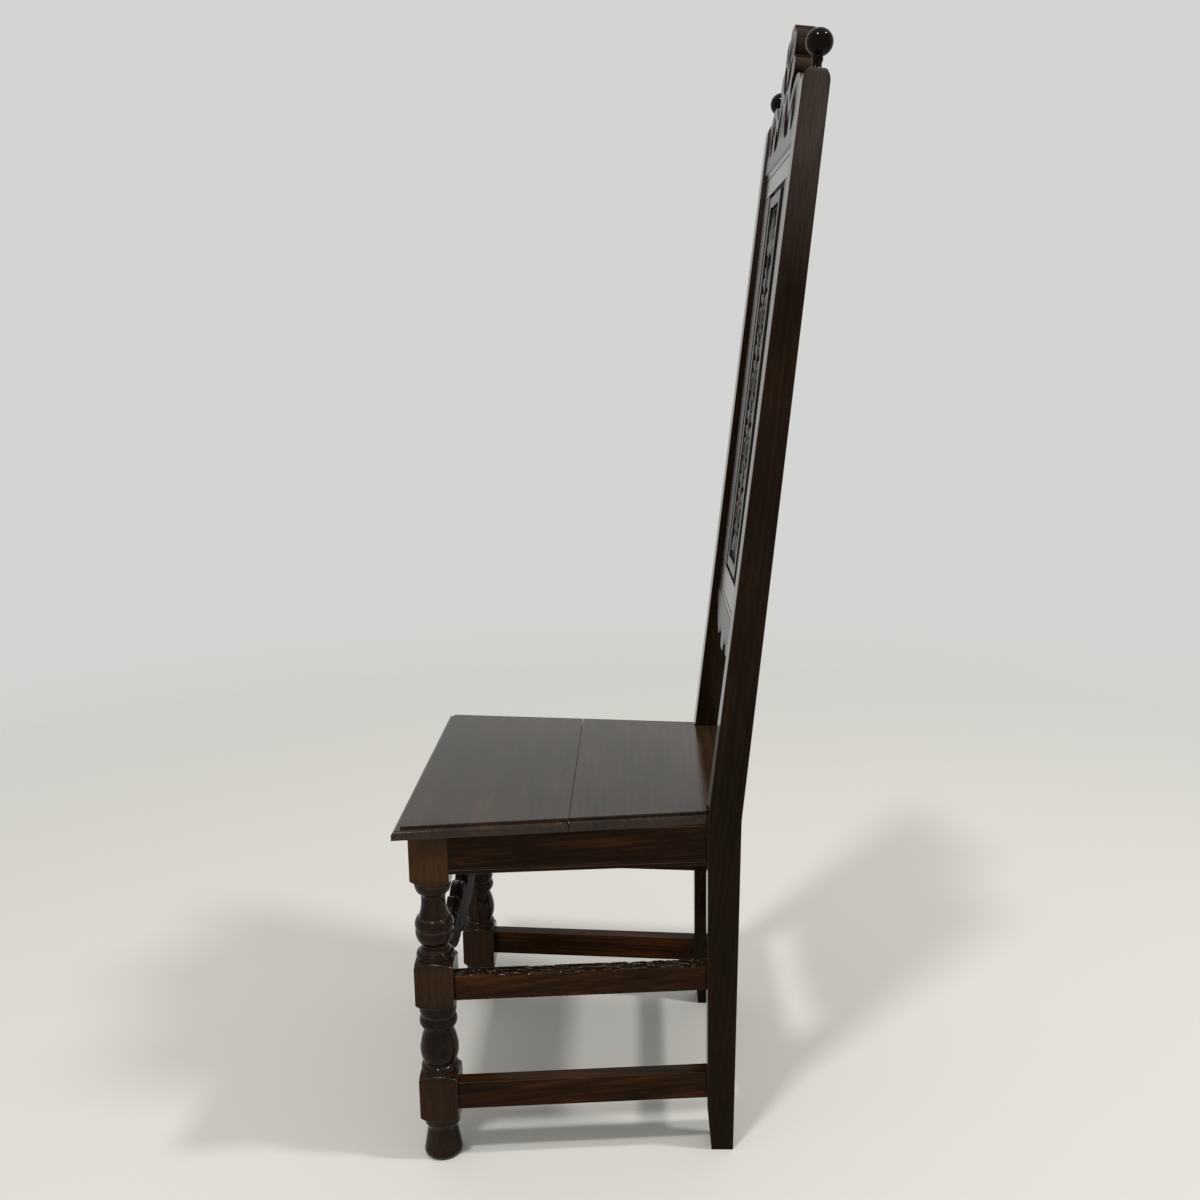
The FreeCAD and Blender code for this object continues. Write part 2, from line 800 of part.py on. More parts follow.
def seat_screws():
    screws = []
    for end in ("front", "rear"):
        x, y = screw_place(end)
        for sign in SIDES.values():
            head = doc.addObject("Part::Cone", "ScrewHead")
            bind(head, Radius1=d.screw_head_radius, Radius2=d.screw_radius, Height=d.screw_head_height)
            shank = doc.addObject("Part::Cylinder", "ScrewShank")
            bind(shank, Radius=d.screw_radius, Height=d.block_height + d.screw_grip)
            screw = doc.addObject("Part::Fuse", "Screw")
            screw.Base = head
            screw.Tool = shank
            put(screw, x * sign, y, rail_top - d.block_height)
            screws.append(screw)
    group("seat_screws", screws)


# The back: everything here stands in the raked frame, with its zero at the knee of the posts
def back_piece(label, side=1):
    return Piece(label, (ZERO, knee_y, d.knee_height), side, leans=True)


def dowel_holes(board, low, high):
    for x in dowel_spots:
        board.cut("plan", circle(x, ZERO, d.dowel_radius + d.fit_gap), low, high)


def dowels(label, middle):
    pegs = []
    for x in dowel_spots:
        peg = doc.addObject("Part::Cylinder", "Dowel")
        bind(peg, Radius=d.dowel_radius, Height=d.dowel_length)
        put(peg, x, ZERO, middle - d.dowel_length / 2)
        pegs.append(peg)
    turn = FreeCAD.Rotation(FreeCAD.Vector(-1, 0, 0), d.rake.number)
    bundle = group(label, pegs, FreeCAD.Placement(vector(0, knee_y, d.knee_height), turn))
    bind(bundle, Placement_Base_y=knee_y, Placement_Base_z=d.knee_height)
    bundle.setExpression("Placement.Rotation.Angle", d.rake.formula)


def back_rails():
    half = d.back_rail_thick / 2
    reach = bay + d.tenon_length
    hole = d.dowel_length / 2 + d.fit_gap
    groove_reach = stile_inner + d.panel_groove
    top = back_piece("back_top_rail")
    top.add("front", rectangle(-bay, bay, panel_high, crest_low), -half, half)
    top.add("front", rectangle(-reach, reach, *top_rail_run), *back_tenon)
    groove = rectangle(-groove_reach, groove_reach, panel_high, panel_high + d.panel_groove)
    top.cut("front", groove, *groove_depth)
    quirk = rectangle(-bay, bay, crest_low - d.back_bead - d.quirk, crest_low - d.back_bead)
    top.cut("front", quirk, -half, d.quirk - half)
    dowel_holes(top, crest_low - hole, crest_low)
    bottom = back_piece("back_bottom_rail")
    bottom.add("front", rectangle(-bay, bay, d.bottom_rail_low, panel_low), -half, half)
    bottom.add("front", rectangle(-reach, reach, *bottom_rail_run), *back_tenon)
    groove = rectangle(-groove_reach, groove_reach, panel_low - d.panel_groove, panel_low)
    bottom.cut("front", groove, *groove_depth)
    bead_top = d.bottom_rail_low + d.back_bead
    quirk = rectangle(-bay, bay, bead_top, bead_top + d.quirk)
    bottom.cut("front", quirk, -half, d.quirk - half)
    dowel_holes(bottom, d.bottom_rail_low, d.bottom_rail_low + hole)
    stub = d.stub_length + d.fit_gap
    near, far = stub_span
    for rail, low, high in ((top, panel_high, panel_high + stub), (bottom, panel_low - stub, panel_low)):
        for sign in SIDES.values():
            slot = rectangle((near - d.fit_gap) * sign, (far + d.fit_gap) * sign, low, high)
            rail.cut("front", slot, stub_depth[0] - d.fit_gap, stub_depth[1] + d.fit_gap)


def back_stile(name, side):
    stile = back_piece(f"back_stile_{name}", side)
    back = d.back_rail_thick / 2
    stile.add("front", rectangle(stile_inner, bay, panel_low, panel_high), back - d.stile_thick, back)
    stub = rectangle(*stub_span, panel_low - d.stub_length, panel_high + d.stub_length)
    stile.add("front", stub, *stub_depth)
    slot = rectangle(stile_inner, stile_inner + d.panel_groove, panel_low, panel_high)
    stile.cut("front", slot, *groove_depth)


def back_panel():
    panel = back_piece("back_panel")
    edge = d.panel_groove - d.panel_play
    board = rectangle(-stile_inner - edge, stile_inner + edge, panel_low - edge, panel_high + edge)
    panel.add("front", board, -d.panel_front, d.panel_thick - d.panel_front)


def panel_mouldings():
    x = stile_inner - d.moulding_side_margin
    low = panel_low + d.moulding_end_margin
    high = panel_high - d.moulding_end_margin
    wide = d.moulding_width
    outer = rectangle(x, -x, low, high)
    inner = rectangle(x - wide, wide - x, low + wide, high - wide)
    front = -d.panel_front - d.moulding_height
    for number, name in enumerate(("bottom", "right", "top", "left")):
        following = (number + 1) % 4
        moulding = back_piece(f"panel_moulding_{name}")
        strip = [outer[number], outer[following], inner[following], inner[number]]
        moulding.add("front", strip, front, -d.panel_front)
        moulding.soften("Fillet", d.moulding_round, on_moulding_front)


def on_moulding_front(edge):
    front = -(d.panel_front + d.moulding_height).number
    straight = edge.Vertexes[-1].Point - edge.Vertexes[0].Point
    square = min(abs(straight.x), abs(straight.z)) < TOUCH
    return square and all(abs(vertex.Y - front) < TOUCH for vertex in edge.Vertexes)


# Cresting: a pierced board that steps up in lobes to a flat cap, with a scroll beside each post
def cresting():
    board = back_piece("cresting")
    tall = d.cresting_height
    half_thick = d.cresting_thick / 2

    def spots(*shares):
        """Places given as shares of the half bay and of the cresting's height."""
        return tuple(crest_low + share * tall if i % 2 else share * bay for i, share in enumerate(shares))

    half = [
        spots(1, 0),
        spots(1, 0.386),
        spots(0.63, 0.516, 0.81, 0.494),
        spots(0.40, 0.366, 0.51, 0.464),
        spots(0.314, 0.484, 0.34, 0.405),
        spots(0.33, 0.562),
        spots(0.354, 0.706, 0.415, 0.634),
        spots(0.262, 0.739),
        spots(0.256, 0.928, 0.293, 0.837),
        spots(0.11, 0.935),
        spots(0.085, 1),
    ]
    board.add("front", both_halves(half), -half_thick, half_thick)
    reach = bay + crest_tenon
    board.add("front", rectangle(-reach, reach, *cresting_run), *back_tenon)
    leaves = [
        (0.89, 0.17, 0.86, 0.43, 0.8),
        (0.69, 0.16, 0.71, 0.36, 0.9),
        (0.50, 0.25, 0.64, 0.44, 1),
        (0.38, 0.15, 0.43, 0.32, 0.9),
        (0.28, 0.19, 0.16, 0.40, 1),
        (0.07, 0.16, 0.06, 0.40, 0.7),
        (0.09, 0.58, 0.21, 0.72, 1),
    ]
    for sign in SIDES.values():
        for x0, y0, x1, y1, fullness in leaves:
            start = spots(x0 * sign, y0)
            end = spots(x1 * sign, y1)
            board.cut("front", leaf(*start, *end, d.crest_slot * fullness), -half_thick, half_thick)
    board.cut("front", rectangle(-bay, bay, crest_low, crest_low + d.quirk), -half_thick, d.quirk - half_thick)
    dowel_holes(board, crest_low, crest_low + d.dowel_length / 2 + d.fit_gap)


# Apron: a shaped board under the bottom rail, with a pendant between pairs of lobes
def apron():
    board = back_piece("apron")
    top = d.bottom_rail_low
    half_thick = d.apron_thick / 2

    def spots(*shares):
        """Places given as shares of the half bay and of the apron's drop."""
        return tuple(top - share * d.apron_drop if i % 2 else share * bay for i, share in enumerate(shares))

    half = [
        spots(0.085, 0.98),
        spots(0.145, 0.63, 0.135, 0.83),
        spots(0.22, 0.74),
        spots(0.31, 0.58, 0.28, 0.68),
        spots(0.40, 0.88, 0.33, 0.76),
        spots(0.74, 0.42, 0.58, 0.74),
        spots(1, 0.35, 0.87, 0.35),
        spots(1, 0),
    ]
    board.add("front", both_halves(half, bottom=top - d.apron_drop), -half_thick, half_thick)
    board.cut("front", rectangle(-bay, bay, top - d.quirk, top), -half_thick, d.quirk - half_thick)
    dowel_holes(board, top - d.dowel_length / 2 - d.fit_gap, top)


for side_name, side_sign in SIDES.items():
    front_leg(side_name, side_sign)
    rear_post(side_name, side_sign)
    finial(side_name, side_sign)
    side_piece(f"seat_rail_{side_name}", seat_rail, side_sign, beaded=True)
    side_piece(f"upper_stretcher_{side_name}", upper_stretcher, side_sign)
    side_piece(f"lower_stretcher_{side_name}", lower_stretcher, side_sign)
    back_stile(side_name, side_sign)
    for block_end in ("front", "rear"):
        corner_block(block_end, side_name, side_sign)
cross_piece("seat_rail_front", front_rail)
cross_piece("seat_rail_back", back_rail)
cross_piece("back_stretcher", back_stretcher)
shaped_stretcher()
seat_boards()
seat_screws()
back_rails()
back_panel()
panel_mouldings()
cresting()
apron()
dowels("cresting_dowels", crest_low)
dowels("apron_dowels", d.bottom_rail_low)
doc.recompute()

faults = [item.Label for item in doc.Objects if {"Invalid", "Error"} & set(item.State)]
faults += [label for label, piece in pieces.items() if piece.Shape.isNull() or not piece.Shape.isValid()]
if faults:
    raise RuntimeError(f"not built: {faults}")

os.makedirs("parts", exist_ok=True)
for label, piece in pieces.items():
    piece.Shape.exportStep(f"parts/{label}.step")
print(f"{len(pieces)} sub-parts written")
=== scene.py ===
# %% [markdown]
# # A hall chair in stained oak
# The chair arrives as a set of joined wooden parts at their real size. This lesson dresses them:
# every board gets its own grain, the sharp edges are eased as years of use ease them, and the
# flat boards of the back get their carving. Nothing is moved, because the joints already fit.

# %% Load the chair
import math

import bpy
import numpy as np
from mathutils import Matrix, Vector, noise
from mathutils.kdtree import KDTree


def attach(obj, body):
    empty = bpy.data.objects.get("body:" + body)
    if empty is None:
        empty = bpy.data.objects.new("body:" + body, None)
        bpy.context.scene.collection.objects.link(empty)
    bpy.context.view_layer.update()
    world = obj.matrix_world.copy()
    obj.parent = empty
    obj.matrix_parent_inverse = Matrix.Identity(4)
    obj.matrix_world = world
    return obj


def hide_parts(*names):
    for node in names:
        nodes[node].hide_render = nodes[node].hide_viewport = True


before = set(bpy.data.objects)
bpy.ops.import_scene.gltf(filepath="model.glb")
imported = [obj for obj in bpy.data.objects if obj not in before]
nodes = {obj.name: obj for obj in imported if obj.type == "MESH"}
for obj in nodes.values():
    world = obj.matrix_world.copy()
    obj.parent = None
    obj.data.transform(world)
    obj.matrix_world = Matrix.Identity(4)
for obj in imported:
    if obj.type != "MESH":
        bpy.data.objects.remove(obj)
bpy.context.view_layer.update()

MM = 0.001

# %% [markdown]
# ## Two small tools for materials
# A colour is written as the hex value seen on a screen, and the renderer wants it in linear light,
# so one function converts it. A second one adds a shader node, sets its sockets and links it up. A
# material could be drawn by hand in the node editor, but code makes it the same way each time.


# %% Colour and node helpers
def linear(hex_colour):
    """Linear RGBA of an sRGB hex colour such as 3a2418."""
    channels = [int(hex_colour[i : i + 2], 16) / 255 for i in (0, 2, 4)]
    return [c / 12.92 if c <= 0.04045 else ((c + 0.055) / 1.055) ** 2.4 for c in channels] + [1]


def add(tree, kind, settings=None, **inputs):
    """Add a shader node; an input is a value, or another node's output socket to link.

    An input's name is the socket's own, with _ for a space, or in and the socket's number.
    """
    node = tree.nodes.new(kind)
    for name, value in (settings or {}).items():
        setattr(node, name, value)
    for name, value in inputs.items():
        number = name.removeprefix("in")
        socket = node.inputs[int(number) if number.isdigit() else name.replace("_", " ")]
        if isinstance(value, bpy.types.NodeSocket):
            tree.links.new(value, socket)
        else:
            socket.default_value = value
    return node


def new_material(name):
    material = bpy.data.materials.new(name)
    material.use_nodes = True
    return material, material.node_tree, material.node_tree.nodes["Principled BSDF"]


print("grey 808080 on a screen is", round(linear("808080")[0], 3), "in linear light")

# %% [markdown]
# ## Oak
# A board is a slice through the tree's rings, so its figure comes from rings round a distant heart:
# on one face they show as straight lines, on the next as arches. A picture of a board could be wrapped
# round each piece, but it would repeat. A ring-shaped wave about an axis beside the board gives lines
# and arches at once, on every face, with no unwrapping. Each piece takes its own slice, by a shift
# that depends on the piece. The open pores of oak are short dashes along the grain. Real ones are a
# third of a millimetre wide; here they are drawn coarser, so that they show.

# %% Oak patterns
# Each has a node, its size across the grain and along it in mm, its settings and its sockets
RING_KIND = {"wave_type": "RINGS", "rings_direction": "Z", "wave_profile": "SAW"}
RING_SHAPE = {"Scale": math.pi / 10, "Distortion": 5, "Detail": 3, "Detail_Scale": 0.45}
PATTERNS = {
    "rings": ("ShaderNodeTexWave", (6, 84), RING_KIND, RING_SHAPE),
    "pores": ("ShaderNodeTexNoise", (1.2, 24), None, {"Scale": 1, "Detail": 2}),
    "streaks": ("ShaderNodeTexNoise", (8, 170), None, {"Scale": 1, "Detail": 4}),
    "patches": ("ShaderNodeTexNoise", (60, 190), None, {"Scale": 1, "Detail": 3}),
}
HEART_MM = (70, 45, 0)
SLICE_M = (0.31, 0.57, 0.43)


def draw_patterns(tree, along):
    """The patterns of a board whose grain runs along a direction, each from 0 to 1."""
    place = add(tree, "ShaderNodeTexCoord").outputs["Object"]
    piece = add(tree, "ShaderNodeObjectInfo").outputs["Random"]
    shift = add(tree, "ShaderNodeVectorMath", {"operation": "SCALE"}, in0=SLICE_M, Scale=piece).outputs[0]
    own = add(tree, "ShaderNodeVectorMath", {"operation": "ADD"}, in0=place, in1=shift).outputs[0]
    turn = Vector((0, 0, 1)).rotation_difference(Vector(along)).inverted().to_euler()
    heart = [side * MM for side in HEART_MM]
    board = add(tree, "ShaderNodeMapping", Vector=own, Rotation=turn, Location=heart).outputs[0]
    drawn = {}
    for pattern, (kind, (width, length), settings, sockets) in PATTERNS.items():
        scale = (1 / (width * MM), 1 / (width * MM), 1 / (length * MM))
        stretched = add(tree, "ShaderNodeMapping", Vector=board, Scale=scale).outputs[0]
        drawn[pattern] = add(tree, kind, settings, Vector=stretched, **sockets).outputs["Fac"]
    return drawn


for pattern, (_, (width, length), *_) in PATTERNS.items():
    print(pattern, "are", width, "mm wide and", length, "mm long")

# %% Painted light and sheen at some heights
TALL_MM = 1400
CLOUDY = {"From_Min": 0.3, "From_Max": 0.7}
PAINTED_UNEVEN = {**CLOUDY, "To_Min": 0.55, "To_Max": 1.35}


# Painted light: a lighter tone laid over the wood at given heights, in place of the light and sheen that
# fall there
def tone_with_painted_light(tree, tone, patches, faded):
    """A tone that goes over to another, unevenly, by shares that are given for some heights."""
    place = add(tree, "ShaderNodeTexCoord").outputs["Object"]
    height = add(tree, "ShaderNodeSeparateXYZ", Vector=place).outputs["Z"]
    tall = add(tree, "ShaderNodeMapRange", Value=height, From_Max=TALL_MM * MM).outputs[0]
    painted_share = add(tree, "ShaderNodeValToRGB", Fac=tall)
    stops = painted_share.color_ramp.elements
    while len(stops) < len(faded["shares"]):
        stops.new(1)
    for stop, (height_mm, share) in zip(stops, sorted(faded["shares"].items())):
        stop.position = height_mm / TALL_MM
        stop.color = (share, share, share, 1)
    evenly = painted_share.outputs["Color"]
    uneven = add(tree, "ShaderNodeMapRange", Value=patches, **PAINTED_UNEVEN).outputs[0]
    share = add(tree, "ShaderNodeMath", {"operation": "MULTIPLY"}, in0=evenly, in1=uneven).outputs[0]
    to = linear(faded["to"])
    return add(tree, "ShaderNodeMix", {"data_type": "RGBA"}, in0=share, in6=tone, in7=to).outputs["Result"]


# %% Oak material
RING_DEPTH = 0.28
PATCH_DEPTH = {**CLOUDY, "To_Min": -0.3, "To_Max": 0.3}
STREAK_DEPTH = {**CLOUDY, "To_Min": 0, "To_Max": 0.5}
MIDDLE_AT, LIGHT_AT = 0.45, 0.9
PORE_SHADE = {"From_Min": 0.38, "From_Max": 0.52, "To_Min": 0.7, "To_Max": 1}
PORE_DEEP_MM = 0.3
PORE_BUMP = 0.12
GLOSSY = {"From_Min": 0.35, "From_Max": 0.75}
GLOSS_LOSS = 0.06
BACK_DULL = {"From_Min": 0.5, "From_Max": 0.9, "To_Min": 0, "To_Max": 0.25}


def oak(name, along, dark, middle, light, gloss, ior, dull_back=False, faded=None):
    """Oak whose grain runs along a direction; gloss is the roughness where it is best polished."""
    material, tree, shader = new_material(name)
    drawn = draw_patterns(tree, along)
    rings, patches = drawn["rings"], drawn["patches"]
    blend = add(tree, "ShaderNodeMapRange", Value=patches, **PATCH_DEPTH).outputs[0]
    streak = add(tree, "ShaderNodeMapRange", Value=drawn["streaks"], **STREAK_DEPTH).outputs[0]
    weigh = {"operation": "MULTIPLY_ADD"}
    figure = add(tree, "ShaderNodeMath", weigh, in0=rings, in1=RING_DEPTH, in2=blend)
    depth = add(tree, "ShaderNodeMath", {"operation": "ADD"}, in0=figure.outputs[0], in1=streak)
    ramp = add(tree, "ShaderNodeValToRGB", Fac=depth.outputs[0])
    ramp.color_ramp.elements[0].color = linear(dark)
    ramp.color_ramp.elements[1].position = LIGHT_AT
    ramp.color_ramp.elements[1].color = linear(light)
    ramp.color_ramp.elements.new(MIDDLE_AT).color = linear(middle)
    tone = ramp.outputs["Color"]
    # Painted light and sheen at some heights, where a piece has them
    if faded:
        tone = tone_with_painted_light(tree, tone, patches, faded)
    pore = add(tree, "ShaderNodeMapRange", Value=drawn["pores"], **PORE_SHADE).outputs[0]
    multiply = {"data_type": "RGBA", "blend_type": "MULTIPLY"}
    colour = add(tree, "ShaderNodeMix", multiply, in0=1.0, in6=tone, in7=pore)
    rough_ends = {**GLOSSY, "To_Min": gloss, "To_Max": gloss + GLOSS_LOSS}
    rough = add(tree, "ShaderNodeMapRange", Value=patches, **rough_ends).outputs[0]
    if dull_back:
        normal = add(tree, "ShaderNodeNewGeometry").outputs["Normal"]
        facing = add(tree, "ShaderNodeSeparateXYZ", Vector=normal).outputs["Y"]
        rear = add(tree, "ShaderNodeMapRange", Value=facing, **BACK_DULL).outputs[0]
        rough = add(tree, "ShaderNodeMath", {"operation": "ADD"}, in0=rough, in1=rear).outputs[0]
    relief = add(tree, "ShaderNodeBump", Strength=PORE_BUMP, Distance=PORE_DEEP_MM * MM, Height=pore)
    tree.links.new(colour.outputs["Result"], shader.inputs["Base Color"])
    tree.links.new(rough, shader.inputs["Roughness"])
    tree.links.new(relief.outputs["Normal"], shader.inputs["Normal"])
    shader.inputs["IOR"].default_value = ior
    return material


# %% [markdown]
# ## Finishes
# All of the chair is one dark stained oak, but each piece was worked and worn in its own way, and
# that is what the eye sees. One finish for all would be quicker and would look like plastic. The
# refractive indices are lower than a varnish has, because in a pale studio a full sheen would turn
# the dark wood grey.

# %% Tones of each finish
# Painted sheen: a grey brown laid over the posts near their tops, where a soft sheen shows (height in mm:
# share)
POST_PAINTED_SHEEN = {"to": "463d38", "shares": {1040: 0, 1135: 0.38, 1230: 0.72}}
# Painted light: the square blocks are made lighter and warmer, most at the top, where the light from above
# falls, and the turning between them stays dark
LEG_PAINTED_LIGHT = {
    "to": "4c2f12",
    "shares": {
        **{50: 0, 60: 0.14, 107: 0.16, 116: 0},
        **{200: 0, 211: 0.4, 254: 0.45, 264: 0},
        **{360: 0, 371: 0.75},
    },
}


def tones(dark, middle, light, gloss, ior, **more):
    return {"dark": dark, "middle": middle, "light": light, "gloss": gloss, "ior": ior, **more}


# Planed and rubbed: black brown, with a soft sheen, and a painted grey-brown sheen near the top
POST = tones("140b05", "1c1108", "2a190c", 0.1, 1.15, faded=POST_PAINTED_SHEEN)
# Planed and oiled: an even dark brown that hardly shines
SEAT_RAIL = tones("130a04", "1f1107", "371f0d", 0.12, 1.13)
# Planed and polished: a warm brown with lighter streaks
RAIL = tones("190d05", "2d190a", "4c2b11", 0.12, 1.14)
# Turned and polished: dark, with a sharp highlight on every bead, and painted light on the square blocks
TURNED = tones("120a05", "1d1108", "2e1c0d", 0.05, 1.21, faded=LEG_PAINTED_LIGHT)
# Turned and burnished: almost black, with the lamps as points of light
BALL = tones("0a0503", "100905", "180e08", 0.03, 1.17)
# Planed and burnished: a dark satin that pales when it is seen edge-on
BACK = tones("150c06", "1e1209", "2c1a0d", 0.24, 1.3)
# Scraped and burnished: as dark, and smooth enough to mirror pale things behind it
BACK_RAIL = tones("150c06", "1e1209", "2c1a0d", 0.12, 1.33)
# Carved and waxed: dark, with soft glints along the cuts
CARVED = tones("140c06", "1e1209", "2d1b0e", 0.22, 1.28)
# Carved and oiled: browner and duller, so that the relief stands out from its ground, which is black with
# dirt and painted shade
PANEL = tones("180e07", "26170b", "3a2411", 0.3, 1.22)
# Planed and waxed: a cool brown that mirrors what is pale as still water does
SEAT = tones("1c130c", "2a1c12", "3c2a19", 0.12, 1.355)
# Rubbed edges: thin lighter lines round each piece
WORN = tones("22140b", "322012", "462d1a", 0.16, 1.3)
# Scuffed by heels: dark broken wood with small bright glints
SCUFFED = tones("120a05", "1d1208", "33200f", 0.1, 1.4)
# Sawn and stained, where nobody looks: black and matt; in deep cuts and on the front stretcher's back the
# black is also painted shade
BARE_AND_SHADE = tones("0d0704", "140b06", "1e1209", 0.5, 1.12)
# Raw wood, sawn or turned: pale and dull
RAW = tones("6f4f33", "8d6a48", "a98660", 0.62, 1.45)
# Prints the heights of the painted light on the legs' blocks
print("legs worn at", [height for height, share in LEG_PAINTED_LIGHT["shares"].items() if share], "mm")

# %% [markdown]
# ## Which way each board runs
# A joiner lays the grain along the length of every piece, so rails run across, stretchers run back
# and the posts run up the rake. One material is made per direction and finish. Pieces whose backs
# are never touched have lost their sheen there.

# %% Finishes by piece: name of the wood, way of the grain, tones, dull back
RAKE = math.radians(6.46)
UP = (0, 0, 1)
RAKED = (0, math.sin(RAKE), math.cos(RAKE))
ACROSS = (1, 0, 0)
BACKWARDS = (0, 1, 0)
WAYS = {UP: "upright", RAKED: "raked", ACROSS: "across", BACKWARDS: "backwards"}
finishes = {
    "front_leg": ("turned_and_polished_oak", UP, TURNED, False),
    "finial": ("turned_and_burnished_oak", RAKED, BALL, False),
    "rear_post": ("planed_and_rubbed_oak", RAKED, POST, False),
    "seat_rail_front": ("planed_and_oiled_oak", ACROSS, SEAT_RAIL, True),
    "seat_rail_back": ("planed_and_oiled_oak", ACROSS, SEAT_RAIL, True),
    "seat_rail": ("planed_and_oiled_oak", BACKWARDS, SEAT_RAIL, False),
    "seat_board": ("planed_and_waxed_oak", ACROSS, SEAT, False),
    "upper_stretcher": ("planed_and_polished_oak", BACKWARDS, RAIL, False),
    "lower_stretcher": ("planed_and_polished_oak", BACKWARDS, RAIL, False),
    "back_stretcher": ("planed_and_polished_oak", ACROSS, RAIL, True),
    "front_stretcher": ("carved_and_waxed_oak", ACROSS, CARVED, False),
    "back_top_rail": ("scraped_and_burnished_oak", ACROSS, BACK_RAIL, True),
    "back_bottom_rail": ("scraped_and_burnished_oak", ACROSS, BACK_RAIL, True),
    "back_stile": ("planed_and_burnished_oak", RAKED, BACK, True),
    "back_panel": ("carved_and_oiled_oak", RAKED, PANEL, False),
    "panel_moulding_left": ("planed_and_burnished_oak", RAKED, BACK, False),
    "panel_moulding_right": ("planed_and_burnished_oak", RAKED, BACK, False),
    "panel_moulding": ("planed_and_burnished_oak", ACROSS, BACK, False),
    "cresting": ("carved_and_waxed_oak", ACROSS, CARVED, False),
    "apron": ("planed_and_burnished_oak", ACROSS, BACK, True),
    "corner_block": ("sawn_raw_beech", BACKWARDS, RAW, False),
    "cresting_dowels": ("turned_raw_oak", RAKED, RAW, False),
    "apron_dowels": ("turned_raw_oak", RAKED, RAW, False),
}
made = {}


def finish_of(name):
    """The oak of a piece, and the rubbed oak of its edges."""
    start = max((start for start in finishes if name.startswith(start)), key=len)
    wood, along, wood_tones, dull_back = finishes[start]
    key = f"{wood}_{WAYS[along]}" + ("_dull_back" if dull_back else "")
    if key not in made:
        edge_tones = RAW if wood_tones is RAW else WORN
        made[key] = (
            oak(key, along, **wood_tones, dull_back=dull_back),
            oak(f"{key}_rubbed_edge", along, **edge_tones),
        )
    return made[key]


print(len(finishes), "kinds of piece have a finish")

# %% [markdown]
# ## Steel screws
# Four screws hold the seat down from below. They are cut from drawn steel wire and have dulled, so
# the metal is dark grey with a blotchy, half-matt skin. Few will look at them, so one noise gives
# both the blotches and the dullness.

# %% Steel material
SKIN_MM = 3
STEEL_ROUGH = {"To_Min": 0.35, "To_Max": 0.6}
steel, steel_tree, steel_shader = new_material("drawn_and_dulled_steel")
steel_place = add(steel_tree, "ShaderNodeTexCoord").outputs["Object"]
blotches = add(steel_tree, "ShaderNodeTexNoise", Vector=steel_place, Scale=1 / (SKIN_MM * MM), Detail=3)
skin = blotches.outputs["Fac"]
steel_tone = add(steel_tree, "ShaderNodeValToRGB", Fac=skin)
steel_tone.color_ramp.elements[0].color = linear("5a5550")
steel_tone.color_ramp.elements[1].color = linear("8f8b86")
steel_rough = add(steel_tree, "ShaderNodeMapRange", Value=skin, **STEEL_ROUGH)
steel_tree.links.new(steel_tone.outputs["Color"], steel_shader.inputs["Base Color"])
steel_tree.links.new(steel_rough.outputs[0], steel_shader.inputs["Roughness"])
steel_shader.inputs["Metallic"].default_value = 1
print("made", steel.name)

# %% [markdown]
# ## Eased edges
# No edge of an old chair is sharp, and a hand's rubbing takes the stain off it first. Each edge could
# be rounded in the solids, but that would make them heavy. A bevel modifier on each sharp edge catches
# the light too, and its faces take the second material, in which the stain is thin.

# %% Ease the edges
EASE_MM = 0.7
WELD_MM = 0.005
FLAT_WITHIN = math.radians(0.3)
SHARP_FROM = math.radians(35)
ROUND_ALREADY = ("seat_board", "finial")


def dress(node, name):
    """Wood for a piece, with eased edges unless it is moulded or turned to a round."""
    node.data.materials.clear()
    for material in finish_of(name):
        node.data.materials.append(material)
    if name.startswith(ROUND_ALREADY):
        return
    weld = node.modifiers.new("weld", "WELD")
    weld.merge_threshold = WELD_MM * MM
    flat = node.modifiers.new("join_flat_faces", "DECIMATE")
    flat.decimate_type = "DISSOLVE"
    flat.angle_limit = FLAT_WITHIN
    bevel = node.modifiers.new("ease", "BEVEL")
    bevel.width = EASE_MM * MM
    bevel.segments = 2
    bevel.limit_method = "ANGLE"
    bevel.angle_limit = SHARP_FROM
    bevel.use_clamp_overlap = False
    bevel.material = 1
    node.modifiers.new("shade", "WEIGHTED_NORMAL")


for name, node in nodes.items():
    if name == "seat_screws":
        node.data.materials.clear()
        node.data.materials.append(steel)
    else:
        dress(node, name)
print("woods:", ", ".join(made))

# %% [markdown]
# ## Drawing with a gouge
# Carving is a height at each place of a board. A few strokes make most old ornament: a scroll is a
# rounded ridge along a spiral, a leaf is a pointed swelling with a groove for its rib, and a flower
# is a ring of petals. They could be sculpted with a brush, but functions give the same cut each time.
# Each one gives the height in millimetres at many places at once, and the highest stroke wins, as it
# does when the ground round it is cut away.

# %% Ridges and scrolls
THINNING = 0.66
TURN_POINTS = 26
WOUND_IN = 0.86


def ridge(x, y, path, width, tall):
    """A rounded ridge along a path, thinning from width to a third of it."""
    height = np.zeros_like(x)
    steps = len(path) - 1
    for i in range(steps):
        (ax, ay), (bx, by) = path[i], path[i + 1]
        run = max((bx - ax) ** 2 + (by - ay) ** 2, 1e-9)
        share = np.clip(((x - ax) * (bx - ax) + (y - ay) * (by - ay)) / run, 0, 1)
        away = np.hypot(x - ax - share * (bx - ax), y - ay - share * (by - ay))
        half = width * (1 - THINNING * (i + share) / steps)
        height = np.maximum(height, tall * np.sqrt(np.clip(1 - (away / half) ** 2, 0, 1)))
    return height


def spiral(centre, radius, start, turns, hand):
    """Points of a scroll that winds in from its tail; start is the tail's angle in degrees."""
    share = np.linspace(0, 1, int(turns * TURN_POINTS) + 2)
    angle = math.radians(start) + hand * share * turns * 2 * math.pi
    reach = radius * (1 - WOUND_IN * share**0.8)
    return np.column_stack([centre[0] + reach * np.cos(angle), centre[1] + reach * np.sin(angle)])


print("a scroll of one turn has", len(spiral((0, 0), 20, 0, 1, 1)), "points")


